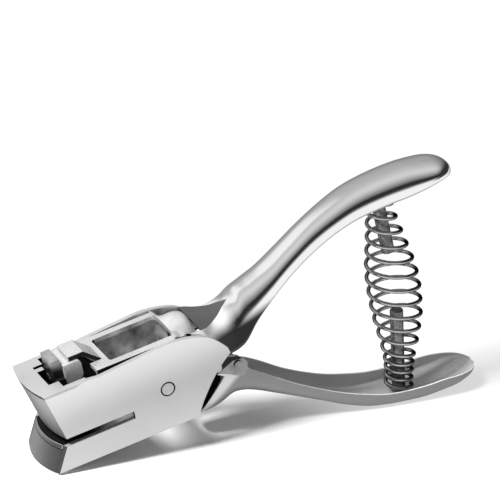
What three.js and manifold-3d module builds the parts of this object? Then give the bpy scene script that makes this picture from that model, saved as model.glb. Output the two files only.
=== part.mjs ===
// A hand-held slot punch of plated sheet steel, at real size in millimetres.
// +Z is up as the tool stands, +X runs from the jaw to the handles and Y lies across it.
// The jaw housing and the upper handle are one frame. The drive lever and the lower
// handle turn on the pivot pin, and the lever's tongue presses the punch down.
import * as THREE from "three";
import { mergeVertices } from "three/addons/utils/BufferGeometryUtils.js";
import Module from "manifold-3d";

const wasm = await Module();
wasm.setup();

const half = (size) => size / 2;

// Whole tool
const jawPitch = THREE.MathUtils.degToRad(13);
const seat = 0.3; // gap between pieces that touch
const overrun = 1; // how far a cut runs past the face it opens
const facets = 24; // sides of a round piece

// Jaw housing, in its own frame: u along its bottom edge, v square to it
const jawLength = 65.4;
const jawHeight = 28;
const jawWidth = 27;
const jawSheet = 1.7;
const bendRadius = 1.2;
const bendEnd = 12; // where the rounded top bends start to fade
const bendFade = 9;
const noseBulge = 2;
const dieBulge = 3; // the lower front stands out further than the upper one
const lipOffset = 5.4; // how far back the mouth lies from the lower front corner
const noseOverhang = 4.2; // how far the top corner leans out over the mouth
const throatLow = 8.2;
const throatHigh = 10.9;
const throatDepth = 28.8;
const deckEnd = 9; // back edge of the short top plate
const deckNotchStart = 5.6;
const deckNotchMargin = 0.8;
const deckRail = 0.8; // what the opening leaves of the top plate inside the cheeks
const tabWidth = 2.2;
const tabLength = 2.6;
const tabOffset = 4.3;
const jawSide = half(jawWidth);
const cheekInside = jawSide - jawSheet;

// Pivot
const pivotAlongShare = 0.6346;
const pivotUpShare = 0.4929;
const pivotU = pivotAlongShare * jawLength;
const pivotV = pivotUpShare * jawHeight;
const pinRadius = 2.3;
const pinClearance = 0.25;
const sleeveWall = 1.4;
const washerRadius = 5;
const washerThickness = 0.4;

// Die block, punch guide and punch
const dieDepth = 30;
const diePlateThickness = 1.1;
const dieSlotClearance = 0.25;
const dieRelief = 0.8;
const guideCover = 7.2; // space between the guide and the top of the jaw
const guideTop = jawHeight - guideCover;
const guideBack = 19.8;
const bladeFront = 8.6;
const bladeThickness = 3.1;
const bladeMargin = 5.6; // from each cheek to the blade
const bladeWidth = 2 * (cheekInside - bladeMargin);
const bladeStandsOut = 5.7;
const bladeNeckInset = 1.8; // how much narrower it is above the jaw, on each side
const bladeNeckSunk = 0.6; // depth of the neck's foot below the top of the jaw
const bladeTop = jawHeight + bladeStandsOut;
const bladeShear = 1.2; // depth of the notch that gives the edge its shear
const bladeRetract = 0.3; // how far the edge sits above the throat at rest
const holderBack = 18;
const holderInset = 0.2; // how much narrower it is than the blade on each side
const holderSunk = 3.1;
const holderBottom = jawHeight - holderSunk;
const holderRound = 2.4;
const holderRivetRadius = 1.1;
const holderRivetHead = 1.8;
const holderRivetHeadHeight = 0.5;
const holderRivetSunk = 1.6;
const holderRivetV = jawHeight - holderRivetSunk;
const holderRivetLength = 8;
const returnSpringU = 16;
const returnSpringRadius = 1.9;
const returnSpringWire = 0.7;
const returnSpringTurns = 5;
const returnPocketRadius = 3;
const returnPocketFloor = 13.2;

// Drive lever
const leverSheet = 1.4;
const leverPlay = 0.9; // between the lever and each cheek
const leverHalf = cheekInside - leverPlay;
const leverNarrowing = 3.3;
const leverRearHalf = leverHalf - leverNarrowing;
const leverWideShare = 0.745;
const leverWide = leverWideShare * jawLength; // where the wide front part ends
const leverTaper = 5.4;
const bridgeFront = 21;
const tongueTip = 14.5;
const tongueBend = 19.8;
const tongueRoot = 25.2;
const tongueInset = 1.4; // how much narrower it is than the blade on each side
const tongueHalf = half(bladeWidth) - tongueInset;
const tongueRise = 5.4;
const tongueTop = jawHeight + tongueRise;
const webRise = 0.5;
const webTop = jawHeight + webRise;
const windowFront = 26.8;
const windowBackShare = 0.75;
const windowBack = windowBackShare * jawLength;
const windowRail = 2.8; // what the window leaves of the web on each side
const windowHalf = leverHalf - windowRail;
const windowRound = 1;
const lugTipShares = [[1.0887, 0.3]];

// Handles
const handleSheet = 1.4;
const handleWidth = 19.4;
const upperStartShare = 0.7156;
const upperStart = upperStartShare * jawLength;
const upperLength = 94.5;
const upperRise = 41.53; // from the lever's saddle to the top of the tool
const lowerStartShare = 0.7951;
const lowerStart = lowerStartShare * jawLength;
const lowerLength = 98.9;
const lugAboveRim = 2.7;
const webPlay = 1.2;
const handleRivetRadius = 0.9;
const handleRivetHead = 1.4;
const handleRivetHeadHeight = 0.3;
const handleRivetFrontReach = 5;
const handleRivetRearReach = 12.2;
const handleRivetBelowRim = 0.6;

// Barrel spring between the handles and the posts that hold it
const springWire = 1.3;
const springRadius = 8.5; // at the middle of the wire, where it is widest
const crestAtSpringShare = 0.933; // height of the upper handle over the spring
const springBelowCrest = 3.62;
const springReach = 72.6;
const springX = lowerStart + springReach;
const springLean = 6.9;
const leanStart = 14;
const leanSpan = 50;
const leanPower = 1.6;
const closePitch = 2.8;
const closeTopTurns = 1.5;
const openTurns = 11.5;
const closeBottomTurns = 4;
const postRadius = 2.2;
const postBelowCrest = 2.12;
const upperPostLength = 25.7;
const lowerPostTop = 30;

// Outlines as shares of the sizes named in each use
const cheekTopShares = [[0.31, 0.982], [0.56, 1.02], [0.73, 1.03], [0.89, 0.925], [0.985, 0.69]];
const cheekTipShare = [1, 0.65];
const cheekRearShares = [[0.9, 0.457], [0.805, 0.19], [0.755, 0]];
const upperRootShare = (cheekInside - seat) / half(handleWidth);
const lowerRootShare = (leverRearHalf - leverSheet - seat) / half(handleWidth);
const upperHandleShares = [
  [0, 0.24, -0.375, upperRootShare], [0.024, 0.2, -0.358, upperRootShare],
  [0.0466, 0.157, -0.337, upperRootShare], [0.0783, 0.061, -0.29, upperRootShare],
  [0.1153, 0.037, -0.24, upperRootShare], [0.1492, 0.0706, -0.222, upperRootShare],
  [0.1767, 0.1067, -0.195, 1.17], [0.2032, 0.169, -0.15, 1.13], [0.2458, 0.228, -0.012, 1.03],
  [0.3048, 0.316, 0.128, 0.9], [0.3759, 0.456, 0.287, 0.815], [0.4571, 0.615, 0.446, 0.8],
  [0.5384, 0.746, 0.579, 0.845], [0.6197, 0.851, 0.678, 0.91], [0.7185, 0.928, 0.753, 0.97],
  [0.82, 0.978, 0.808, 1], [0.894, 0.99, 0.858, 0.975], [0.932, 0.99, 0.882, 0.9],
  [0.962, 0.981, 0.893, 0.755], [0.981, 0.965, 0.894, 0.56], [0.993, 0.942, 0.892, 0.36],
  [1, 0.91, 0.887, 0.13],
];
const lowerHandleShares = [
  [0, 0.29, 1.05, lowerRootShare], [0.051, 0.33, 1.07, lowerRootShare],
  [0.081, 0.385, 1.07, lowerRootShare], [0.122, 0.49, 1.04, lowerRootShare],
  [0.147, 0.51, 0.93, lowerRootShare], [0.172, 0.51, 0.84, 0.63], [0.213, 0.48, 0.77, 0.72],
  [0.264, 0.42, 0.675, 0.785], [0.345, 0.31, 0.518, 0.76], [0.426, 0.2, 0.393, 0.785],
  [0.507, 0.09, 0.292, 0.85], [0.588, 0.015, 0.226, 0.935], [0.649, 0, 0.192, 0.98], [0.71, 0, 0.19, 1],
  [0.791, 0.015, 0.215, 1.01], [0.858, 0.06, 0.255, 1], [0.909, 0.108, 0.268, 0.965],
  [0.944, 0.16, 0.275, 0.86], [0.968, 0.2, 0.28, 0.72], [0.984, 0.232, 0.283, 0.53],
  [0.994, 0.253, 0.285, 0.335], [1, 0.268, 0.286, 0.13],
];
const springRadiusShares = [
  [0, 0.506], [0.08, 0.506], [0.15, 0.57], [0.22, 0.7], [0.29, 0.82], [0.36, 0.93], [0.43, 0.975], [0.5, 1],
  [0.57, 0.97], [0.63, 0.9], [0.7, 0.782], [0.78, 0.653], [0.85, 0.56], [1, 0.52],
];
const leverSaddleShares = [
  [0.749, 1.043], [0.81, 1.068], [0.85, 1.043], [0.872, 0.982], [0.887, 0.857], [0.907, 0.714],
];
const leverLugShares = [[0.94, 0.6], [1, 0.46], [1.05, 0.415]];
const leverSoleShares = [
  [1.075, 0.2], [1.04, 0.165], [0.924, 0.296], [0.795, 0.271], [0.635, 0.25], [0.543, 0.339],
];
const saddleBackShares = [[0.872, 0.982]];
const leverToeShares = [[0.459, 0.571], [0.367, 0.821], [0.335, 0.879]];
// The web at the upper handle's root: reach from its front end, rise over the lever's saddle
const webProfileShares = [
  [-0.03, -0.012], [0.0466, -0.005], [0.0783, 0.004], [0.1153, 0.022], [0.1492, 0.068], [0.1767, 0.111],
];
const handleEarShares = [[0, 0.29], [0.083, 0.805], [0.045, 0.87], [0.02, 0.9], [0.02, 1.2]];

const archSteps = 15;
const stationCount = 34;
const tipCrowding = 1.4; // packs the stations towards a handle's tip
const upperSquareness = 2.5;
const lowerSquareness = 4.2;
const mergeTolerance = 1e-4;

// Solids and geometry

function solidOf(geometry) {
  const bare = geometry.clone();
  bare.deleteAttribute("normal");
  bare.deleteAttribute("uv");
  const merged = mergeVertices(bare, mergeTolerance);
  return new wasm.Manifold(new wasm.Mesh({
    numProp: 3,
    vertProperties: merged.attributes.position.array,
    triVerts: new Uint32Array(merged.index.array),
  }));
}

function geometryOf(solid) {
  const mesh = solid.getMesh();
  const geometry = new THREE.BufferGeometry();
  geometry.setAttribute("position", new THREE.BufferAttribute(new Float32Array(mesh.vertProperties), 3));
  geometry.setIndex(new THREE.BufferAttribute(new Uint32Array(mesh.triVerts), 1));
  geometry.computeVertexNormals();
  return geometry;
}

function shapeThrough(points) {
  return new THREE.Shape(points.map(([x, y]) => new THREE.Vector2(x, y)));
}

// A side outline carried across the tool, from -halfWidth to +halfWidth.
function across(shape, halfWidth, curveSegments = 8) {
  const settings = { depth: 2 * halfWidth, bevelEnabled: false, curveSegments };
  const geometry = new THREE.ExtrudeGeometry(shape, settings);
  geometry.rotateX(Math.PI / 2);
  geometry.translate(0, halfWidth, 0);
  return solidOf(geometry);
}

// A plan outline carried upwards; lean moves it forward as it rises.
function upward(shape, low, high, lean = 0) {
  const settings = { depth: high - low, bevelEnabled: false, curveSegments: 12 };
  const geometry = new THREE.ExtrudeGeometry(shape, settings);
  geometry.applyMatrix4(new THREE.Matrix4().set(1, 0, lean, 0, 0, 1, 0, 0, 0, 0, 1, low, 0, 0, 0, 1));
  return solidOf(geometry);
}

// A cross-section outline in y and z carried along the tool; drift moves it across as it goes.
function along(shape, from, to, drift = 0) {
  const settings = { depth: to - from, bevelEnabled: false, curveSegments: 6 };
  const geometry = new THREE.ExtrudeGeometry(shape, settings);
  const turn = new THREE.Matrix4().makeBasis(
    new THREE.Vector3(0, 1, 0),
    new THREE.Vector3(0, 0, 1),
    new THREE.Vector3(1, 0, 0),
  );
  geometry.applyMatrix4(turn);
  geometry.applyMatrix4(new THREE.Matrix4().set(1, 0, 0, from, drift, 1, 0, 0, 0, 0, 1, 0, 0, 0, 0, 1));
  return solidOf(geometry);
}

function block(lowX, highX, halfWidth, lowZ, highZ) {
  const geometry = new THREE.BoxGeometry(highX - lowX, 2 * halfWidth, highZ - lowZ);
  geometry.translate(half(lowX + highX), 0, half(lowZ + highZ));
  return solidOf(geometry);
}

function crossRod(radius, lowY, highY, x, z) {
  const geometry = new THREE.CylinderGeometry(radius, radius, highY - lowY, facets);
  geometry.translate(x, half(lowY + highY), z);
  return solidOf(geometry);
}

function endRod(radius, lowX, highX, z) {
  const geometry = new THREE.CylinderGeometry(radius, radius, highX - lowX, facets);
  geometry.rotateZ(-Math.PI / 2);
  geometry.translate(half(lowX + highX), 0, z);
  return solidOf(geometry);
}

// Smooth values between the rows of a table whose first column rises from 0 to 1.
function rowAt(rows, share) {
  let i = rows.findIndex((row) => row[0] >= share);
  i = Math.max(i < 0 ? rows.length - 1 : i, 1);
  const [from, to] = [rows[i - 1], rows[i]];
  const [before, after] = [rows[Math.max(i - 2, 0)], rows[Math.min(i + 1, rows.length - 1)]];
  const span = to[0] - from[0];
  const t = (share - from[0]) / span;
  return from.map((value, k) => {
    const slopeIn = ((to[k] - before[k]) / (to[0] - before[0])) * span;
    const slopeOut = ((after[k] - value) / (after[0] - from[0])) * span;
    const rise = to[k] - value;
    const bend = 3 * rise - 2 * slopeIn - slopeOut;
    return value + t * (slopeIn + t * (bend + t * (slopeIn + slopeOut - 2 * rise)));
  });
}

// Closed surface through rings of equal point counts, each ring clockwise when seen along +X.
function loft(rings) {
  const count = rings[0].length;
  const index = [];
  for (let i = 0; i + 1 < rings.length; i++) {
    for (let j = 0; j < count; j++) {
      const a = i * count + j;
      const b = i * count + ((j + 1) % count);
      index.push(a, b, b + count, a, b + count, a + count);
    }
  }
  const last = (rings.length - 1) * count;
  for (let j = 1; j + 1 < count; j++) {
    index.push(0, j + 1, j, last, last + j, last + j + 1);
  }
  const geometry = new THREE.BufferGeometry();
  geometry.setAttribute("position", new THREE.Float32BufferAttribute(rings.flat(2), 3));
  geometry.setIndex(index);
  return geometry;
}

// One section of a handle: an arch over the rim line, upright for side 1 and hanging for side -1.
function archRing(station, side, squareness, skirt) {
  const power = 2 / squareness;
  const ring = [];
  for (let j = 0; j <= archSteps; j++) {
    const turn = (Math.PI * j) / archSteps;
    const cos = Math.cos(turn);
    const y = side * station.half * Math.sign(cos) * Math.abs(cos) ** power;
    const z = station.rim + side * station.depth * Math.abs(Math.sin(turn)) ** power;
    ring.push([station.x, y, z]);
  }
  if (!skirt) return ring;
  const foot = station.rim - side * skirt;
  return [[station.x, side * station.half, foot], ...ring, [station.x, -side * station.half, foot]];
}

// The outside of a sheet handle and the hollow to be taken out of it.
function handleSolids(stations, side, squareness) {
  const outside = stations.map((station) => archRing(station, side, squareness, 0));
  const hollow = [];
  stations.forEach((station, i) => {
    const [before, after] = [stations[Math.max(i - 1, 0)], stations[Math.min(i + 1, stations.length - 1)]];
    const slope = (after.crest - before.crest) / (after.x - before.x);
    const wall = handleSheet * Math.hypot(1, slope);
    if (station.half < 2 * handleSheet || station.depth < wall + seat) return;
    const inner = { ...station, half: station.half - handleSheet, depth: station.depth - wall };
    if (i === 0) inner.x -= overrun;
    hollow.push(archRing(inner, side, squareness, overrun));
  });
  return [solidOf(loft(outside)), solidOf(loft(hollow))];
}

function handleStations(rows, start, length, base, height, side) {
  const stations = [];
  for (let i = 0; i <= stationCount; i++) {
    const share = 1 - (1 - i / stationCount) ** tipCrowding;
    const [, crestOrSole, rim, width] = rowAt(rows, share);
    stations.push({
      x: start + share * length,
      crest: base + crestOrSole * height,
      rim: base + rim * height,
      depth: side * (crestOrSole - rim) * height,
      half: width * half(handleWidth),
    });
  }
  return stations;
}

// A wire of five sides through a list of points, closed at both ends.
function wireThrough(points, radius, sides = 5) {
  const rings = [];
  let side = new THREE.Vector3(0, 1, 0);
  points.forEach((point, i) => {
    const [before, after] = [points[Math.max(i - 1, 0)], points[Math.min(i + 1, points.length - 1)]];
    const ahead = after.clone().sub(before).normalize();
    side = side.clone().addScaledVector(ahead, -side.dot(ahead)).normalize();
    const other = new THREE.Vector3().crossVectors(ahead, side);
    const ring = [];
    for (let j = 0; j < sides; j++) {
      const turn = (2 * Math.PI * j) / sides;
      const corner = point.clone().addScaledVector(side, radius * Math.cos(turn));
      ring.push(corner.addScaledVector(other, radius * Math.sin(turn)).toArray());
    }
    rings.push(ring);
  });
  return loft(rings);
}

// Jaw housing

const throatMiddle = half(throatLow + throatHigh);
const toJaw = (shares) => shares.map(([u, v]) => [u * jawLength, v * jawHeight]);
const upperLean = -noseOverhang / (jawHeight - throatMiddle);
const lowerLean = lipOffset / throatMiddle;

// Places in the jaw's frame turned into the tool's frame, and back
const jawLift = dieBulge * Math.sin(jawPitch);

function fromJaw([u, v]) {
  return [
    u * Math.cos(jawPitch) - v * Math.sin(jawPitch),
    u * Math.sin(jawPitch) + v * Math.cos(jawPitch) + jawLift,
  ];
}

function intoJaw(x, z) {
  const rise = z - jawLift;
  return [
    x * Math.cos(jawPitch) + rise * Math.sin(jawPitch),
    rise * Math.cos(jawPitch) - x * Math.sin(jawPitch),
  ];
}

const [saddleX, saddleZ] = fromJaw(toJaw(saddleBackShares)[0]);
const lowerRise = fromJaw(toJaw(leverLugShares)[1])[1] - lugAboveRim;
const handleRivets = [handleRivetFrontReach, handleRivetRearReach].map((reach) => lowerStart + reach);
const handleRivetZ = lowerRise - handleRivetBelowRim;

function vectors(points) {
  return points.map(([u, v]) => new THREE.Vector2(u, v));
}

// The cheek outline, run forward past the nose so that the nose surface can cut it.
function cheekShape() {
  const shape = new THREE.Shape();
  const top = toJaw(cheekTopShares);
  shape.moveTo(-2 * noseBulge, 0);
  const rear = toJaw(cheekRearShares).reverse();
  shape.lineTo(...rear[0]);
  shape.splineThru(vectors([...rear.slice(1), toJaw([cheekTipShare])[0]]));
  shape.lineTo(...top.at(-1));
  shape.splineThru(vectors(top.slice(0, -1).reverse()));
  shape.lineTo(bendEnd + half(bendFade), jawHeight);
  shape.lineTo(-2 * noseBulge, jawHeight);
  return shape;
}

// Plan of the jaw with its bulged nose; inset moves the whole outline inwards.
function nosePlan(front, inset, bulge) {
  const side = jawSide - inset;
  const shape = new THREE.Shape();
  shape.moveTo(jawLength + overrun, -side);
  shape.lineTo(jawLength + overrun, side);
  shape.lineTo(front + inset, side);
  shape.quadraticCurveTo(front + inset - 2 * bulge, 0, front + inset, -side);
  return shape;
}

function upperNose(inset, low, high) {
  const front = lipOffset + upperLean * (low - throatMiddle);
  return upward(nosePlan(front, inset, noseBulge), low, high, upperLean);
}

function lowerNose(inset, low, high) {
  return upward(nosePlan(lowerLean * low, inset, dieBulge), low, high, lowerLean);
}

function bendCutter(side) {
  const shape = new THREE.Shape();
  const [y, v] = [side * (jawSide - bendRadius), jawHeight - bendRadius];
  shape.moveTo(side * (jawSide + overrun), v);
  shape.lineTo(side * jawSide, v);
  shape.absarc(y, v, bendRadius, side > 0 ? 0 : Math.PI, Math.PI / 2, side < 0);
  shape.lineTo(y, jawHeight + overrun);
  shape.lineTo(side * (jawSide + overrun), jawHeight + overrun);
  const fading = along(shape, bendEnd, bendEnd + bendFade, (side * bendRadius) / bendFade);
  return along(shape, -3 * noseBulge, bendEnd).add(fading);
}

function makeHousing() {
  const high = 1.2 * jawHeight;
  const notchHalf = half(bladeWidth) + deckNotchMargin;
  const nose = upperNose(0, throatMiddle, high).add(lowerNose(0, 0, throatMiddle));
  const deckTab = block(deckNotchStart - overrun, deckNotchStart + tabLength, half(tabWidth), 0, high)
    .translate(0, tabOffset, 0);
  const deckOpening = block(deckEnd, jawLength + overrun, cheekInside - deckRail, throatHigh, high)
    .add(block(bendEnd + half(bendFade), jawLength + overrun, cheekInside, throatHigh, high))
    .add(block(deckNotchStart, deckEnd + overrun, notchHalf, throatHigh, high).subtract(deckTab));
  const inside = upperNose(jawSheet, throatMiddle, jawHeight - jawSheet)
    .add(block(-3 * noseBulge, jawLength + overrun, cheekInside, -overrun, throatMiddle + overrun));
  return across(cheekShape(), jawSide)
    .intersect(nose)
    .subtract(bendCutter(1))
    .subtract(bendCutter(-1))
    .subtract(inside)
    .subtract(deckOpening)
    .subtract(block(-3 * noseBulge, throatDepth, jawWidth, throatLow, throatHigh))
    .subtract(crossRod(pinRadius + pinClearance, -jawWidth, jawWidth, pivotU, pivotV));
}

// Die, guide and punch

const bladeEdge = throatHigh + bladeRetract;
const holderFront = bladeFront + bladeThickness + seat;
const holderTop = tongueTop - leverSheet - seat;
const fitted = jawSheet + seat;

function slotBox(clearance, low, high) {
  const [front, back] = [bladeFront - clearance, bladeFront + bladeThickness + clearance];
  return block(front, back, half(bladeWidth) + clearance, low, high);
}

// Flush with the bulged front between the cheeks.
function betweenCheeks(low, high) {
  return lowerNose(0, low, high)
    .intersect(block(-3 * noseBulge, dieDepth, cheekInside - seat, low, high));
}

function makeDieBlock() {
  const relief = dieSlotClearance + dieRelief;
  return betweenCheeks(0, throatLow - diePlateThickness - seat)
    .subtract(slotBox(relief, -overrun, throatLow));
}

function makeDiePlate() {
  return betweenCheeks(throatLow - diePlateThickness, throatLow)
    .subtract(slotBox(dieSlotClearance, 0, throatLow + overrun));
}

function makeGuide() {
  const low = throatHigh + seat;
  return upperNose(fitted, low, guideTop)
    .intersect(block(-3 * noseBulge, guideBack, jawWidth, low, guideTop))
    .subtract(slotBox(seat, 0, guideTop + overrun))
    .subtract(returnPocket());
}

function returnPocket() {
  const geometry = new THREE.CylinderGeometry(returnPocketRadius, returnPocketRadius, guideTop, facets);
  geometry.rotateX(Math.PI / 2);
  geometry.translate(returnSpringU, 0, returnPocketFloor + half(guideTop));
  return solidOf(geometry);
}

function makeBlade() {
  const side = half(bladeWidth);
  const [neck, foot] = [side - bladeNeckInset, jawHeight - bladeNeckSunk];
  const face = shapeThrough([
    [-side, bladeEdge], [0, bladeEdge + bladeShear], [side, bladeEdge], [side, foot], [neck, foot],
    [neck, bladeTop], [-neck, bladeTop], [-neck, foot], [-side, foot],
  ]);
  const hole = endRod(holderRivetRadius + seat, 0, holderFront, holderRivetV);
  return along(face, bladeFront, bladeFront + bladeThickness).subtract(hole);
}

function makeHolder() {
  const shape = new THREE.Shape();
  shape.moveTo(holderFront, holderBottom);
  shape.lineTo(holderBack - holderRound, holderBottom);
  shape.absarc(holderBack - holderRound, holderBottom + holderRound, holderRound, -Math.PI / 2, 0);
  const topRound = half(holderRound);
  shape.lineTo(holderBack, holderTop - topRound);
  shape.absarc(holderBack - topRound, holderTop - topRound, topRound, 0, Math.PI / 2);
  shape.lineTo(holderFront, holderTop);
  const holeEnd = bladeFront + holderRivetLength + seat;
  const hole = endRod(holderRivetRadius + seat, bladeFront, holeEnd, holderRivetV);
  return across(shape, half(bladeWidth) - holderInset).subtract(hole);
}

function makeHolderRivet() {
  const headStart = bladeFront - seat - holderRivetHeadHeight;
  return endRod(holderRivetHead, headStart, bladeFront - seat, holderRivetV)
    .add(endRod(holderRivetRadius, headStart, bladeFront + holderRivetLength, holderRivetV));
}

// Pivot

function ringAcross(inner, outer, lowY, highY) {
  return crossRod(outer, lowY, highY, pivotU, pivotV)
    .subtract(crossRod(inner, lowY - overrun, highY + overrun, pivotU, pivotV));
}

const bearingRadius = pinRadius + pinClearance;

function makeSleeve() {
  const end = leverHalf - leverSheet - seat;
  return ringAcross(bearingRadius, bearingRadius + sleeveWall, -end, end);
}

// Drive lever

const lugEnd = toJaw(lugTipShares)[0][0];

function leverTopEdge() {
  return [[bridgeFront, webTop], [leverWide, webTop], ...toJaw(leverSaddleShares)];
}

function leverOutline() {
  const shape = new THREE.Shape();
  const [first, second, ...saddle] = leverTopEdge();
  shape.moveTo(...first);
  shape.lineTo(...second);
  shape.splineThru(vectors([...saddle, ...toJaw([...leverLugShares, ...lugTipShares])]));
  shape.splineThru(vectors(toJaw(leverSoleShares)));
  toJaw(leverToeShares).forEach((point) => shape.lineTo(...point));
  shape.lineTo(bridgeFront, webTop - 2 * leverSheet);
  return shape;
}

// The lower face of a bent sheet whose upper face runs through the points.
function underSheet(points, sheet) {
  return points.map(([u, v], i, all) => {
    const [from, to] = [all[Math.max(i - 1, 0)], all[Math.min(i + 1, all.length - 1)]];
    const length = Math.hypot(to[0] - from[0], to[1] - from[1]);
    return [u + (sheet * (to[1] - from[1])) / length, v - (sheet * (to[0] - from[0])) / length];
  });
}

// The hollow under the lever's web, open at the front, below and behind.
function leverHollow() {
  const front = bridgeFront - overrun;
  const lowered = underSheet(leverTopEdge(), leverSheet);
  const back = toJaw([[leverSaddleShares.at(-1)[0], leverLugShares[0][1]]])[0];
  const end = lugEnd + overrun;
  return shapeThrough([
    [front, webTop - leverSheet], ...lowered, back, [end, back[1]], [end, -overrun], [front, -overrun],
  ]);
}

// The tongue is the middle of the web, cut free at its front and bent up.
function makeTongue() {
  const raised = [[tongueTip, tongueTop], [tongueBend, tongueTop]];
  const upper = [...raised, [tongueRoot, webTop], [windowFront, webTop]];
  const lower = underSheet(upper, leverSheet).reverse();
  return across(shapeThrough([...upper, ...lower]), tongueHalf);
}

function leverPlan(inset, start) {
  const [wide, rear] = [leverHalf - inset, leverRearHalf - inset];
  const [bend, end] = [leverWide - half(inset), leverWide + leverTaper - half(inset)];
  const edge = [[bend, wide], [end, rear], [lugEnd + overrun, rear]];
  const mirrored = edge.map(([u, y]) => [u, -y]).reverse();
  return [[start, -wide], [start, wide], ...edge, ...mirrored];
}

function roundedWindow() {
  const shape = new THREE.Shape();
  const [low, high] = [windowFront + windowRound, windowBack - windowRound];
  const side = windowHalf - windowRound;
  shape.absarc(high, side, windowRound, 0, Math.PI / 2);
  shape.absarc(low, side, windowRound, Math.PI / 2, Math.PI);
  shape.absarc(low, -side, windowRound, Math.PI, 1.5 * Math.PI);
  shape.absarc(high, -side, windowRound, 1.5 * Math.PI, 2 * Math.PI);
  return upward(shape, half(webTop), tongueTop + overrun);
}

function makeDriveLever() {
  const high = tongueTop + overrun;
  const hollow = across(leverHollow(), leverHalf)
    .intersect(upward(shapeThrough(leverPlan(leverSheet, bridgeFront - overrun)), -overrun, high));
  let lever = across(leverOutline(), leverHalf)
    .intersect(upward(shapeThrough(leverPlan(0, bridgeFront)), 0, high))
    .subtract(hollow)
    .subtract(block(bridgeFront - overrun, tongueRoot, tongueHalf + seat, half(webTop), high))
    .add(makeTongue())
    .subtract(roundedWindow())
    .subtract(crossRod(bearingRadius, -jawWidth, jawWidth, pivotU, pivotV));
  for (const x of handleRivets) {
    const [u, v] = intoJaw(x, handleRivetZ);
    lever = lever.subtract(crossRod(handleRivetRadius + seat, -jawWidth, jawWidth, u, v));
  }
  return lever;
}

// Handles

// Everything above the web, triangular in plan, where the upper handle leaves the jaw.
function webCutter() {
  const high = saddleZ + upperRise;
  const web = webProfileShares.map(([back, up]) => [
    upperStart + back * upperLength,
    saddleZ + up * upperRise,
  ]);
  return across(shapeThrough([...web, [web.at(-1)[0], high], [web[0][0], high]]), jawWidth);
}

function makeUpperHandle() {
  const stations = handleStations(upperHandleShares, upperStart, upperLength, saddleZ, upperRise, 1);
  const [outside, hollow] = handleSolids(stations, 1, upperSquareness);
  const [webStart, high] = [saddleX + webPlay, saddleZ + upperRise];
  return outside
    .subtract(webCutter())
    .subtract(hollow.subtract(webCutter().translate(0, 0, -handleSheet)))
    .subtract(block(upperStart - overrun, webStart, leverRearHalf + overrun, 0, high));
}

function makeLowerHandle() {
  const stations = handleStations(lowerHandleShares, lowerStart, lowerLength, 0, lowerRise, -1);
  const ear = handleEarShares.map(([back, up]) => [lowerStart + back * lowerLength, up * lowerRise]);
  const ahead = lowerStart - overrun;
  const front = shapeThrough([...ear, [ahead, ear.at(-1)[1]], [ahead, ear[0][1]]]);
  const [outside, hollow] = handleSolids(stations, -1, lowerSquareness);
  let shell = outside.subtract(hollow).subtract(across(front, handleWidth));
  for (const x of handleRivets) {
    shell = shell.subtract(crossRod(handleRivetRadius + seat, -handleWidth, handleWidth, x, handleRivetZ));
  }
  return shell;
}

function makeHandleRivet(x) {
  const end = leverRearHalf + seat;
  const head = end + handleRivetHeadHeight;
  return crossRod(handleRivetRadius, -head, head, x, handleRivetZ)
    .add(crossRod(handleRivetHead, end, head, x, handleRivetZ))
    .add(crossRod(handleRivetHead, -head, -end, x, handleRivetZ));
}

// Barrel spring and posts

const springFloor = handleSheet + seat + half(springWire) + seat;
const springTop = saddleZ + crestAtSpringShare * upperRise - springBelowCrest;
const upperPostTop = saddleZ + crestAtSpringShare * upperRise - postBelowCrest;

function springAxisX(z) {
  return springX - springLean * Math.max((z - leanStart) / leanSpan, 0) ** leanPower;
}

function springHeight(turns) {
  const openPitch = (springTop - springFloor - (closeTopTurns + closeBottomTurns) * closePitch) / openTurns;
  const top = Math.min(turns, closeTopTurns);
  const open = Math.min(Math.max(turns - closeTopTurns, 0), openTurns);
  const bottom = Math.max(turns - closeTopTurns - openTurns, 0);
  return springTop - closePitch * (top + bottom) - openPitch * open;
}

function springPoints() {
  const steps = 8;
  const turns = closeTopTurns + openTurns + closeBottomTurns;
  const points = [];
  for (let i = 0; i <= turns * steps; i++) {
    const z = springHeight(i / steps);
    const [, radiusShare] = rowAt(springRadiusShares, (z - springFloor) / (springTop - springFloor));
    const turn = (2 * Math.PI * i) / steps;
    const radius = radiusShare * springRadius;
    points.push(new THREE.Vector3(springAxisX(z) + radius * Math.cos(turn), radius * Math.sin(turn), z));
  }
  const [first, last] = [points[0].clone(), points.at(-1).clone()];
  first.z += springWire;
  last.z -= half(springWire);
  return [first, ...points, last];
}

// The least distance between stretches of the wire that aren't neighbours, less the wire itself.
function leastGap(points, wire) {
  let least = Infinity;
  points.forEach((point, i) => {
    for (let j = i + 5; j < points.length; j++) {
      least = Math.min(least, point.distanceTo(points[j]));
    }
  });
  return least - wire;
}

function postBetween(lowZ, highZ) {
  const low = new THREE.Vector3(springAxisX(lowZ), 0, lowZ);
  const high = new THREE.Vector3(springAxisX(highZ), 0, highZ);
  const axis = high.clone().sub(low);
  const geometry = new THREE.CylinderGeometry(postRadius, postRadius, axis.length(), facets);
  const upright = new THREE.Vector3(0, 1, 0);
  geometry.applyQuaternion(new THREE.Quaternion().setFromUnitVectors(upright, axis.clone().normalize()));
  geometry.translate(...low.add(high).multiplyScalar(0.5).toArray());
  return solidOf(geometry);
}

function returnSpringPoints() {
  const steps = 8;
  const low = returnPocketFloor + seat + half(returnSpringWire);
  const high = holderBottom - seat - half(returnSpringWire);
  const points = [];
  for (let i = 0; i <= returnSpringTurns * steps; i++) {
    const turn = (2 * Math.PI * i) / steps;
    const v = low + ((high - low) * i) / (returnSpringTurns * steps);
    const out = returnSpringRadius * Math.cos(turn);
    points.push(new THREE.Vector3(returnSpringU + out, returnSpringRadius * Math.sin(turn), v));
  }
  return points;
}

// Materials

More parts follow.
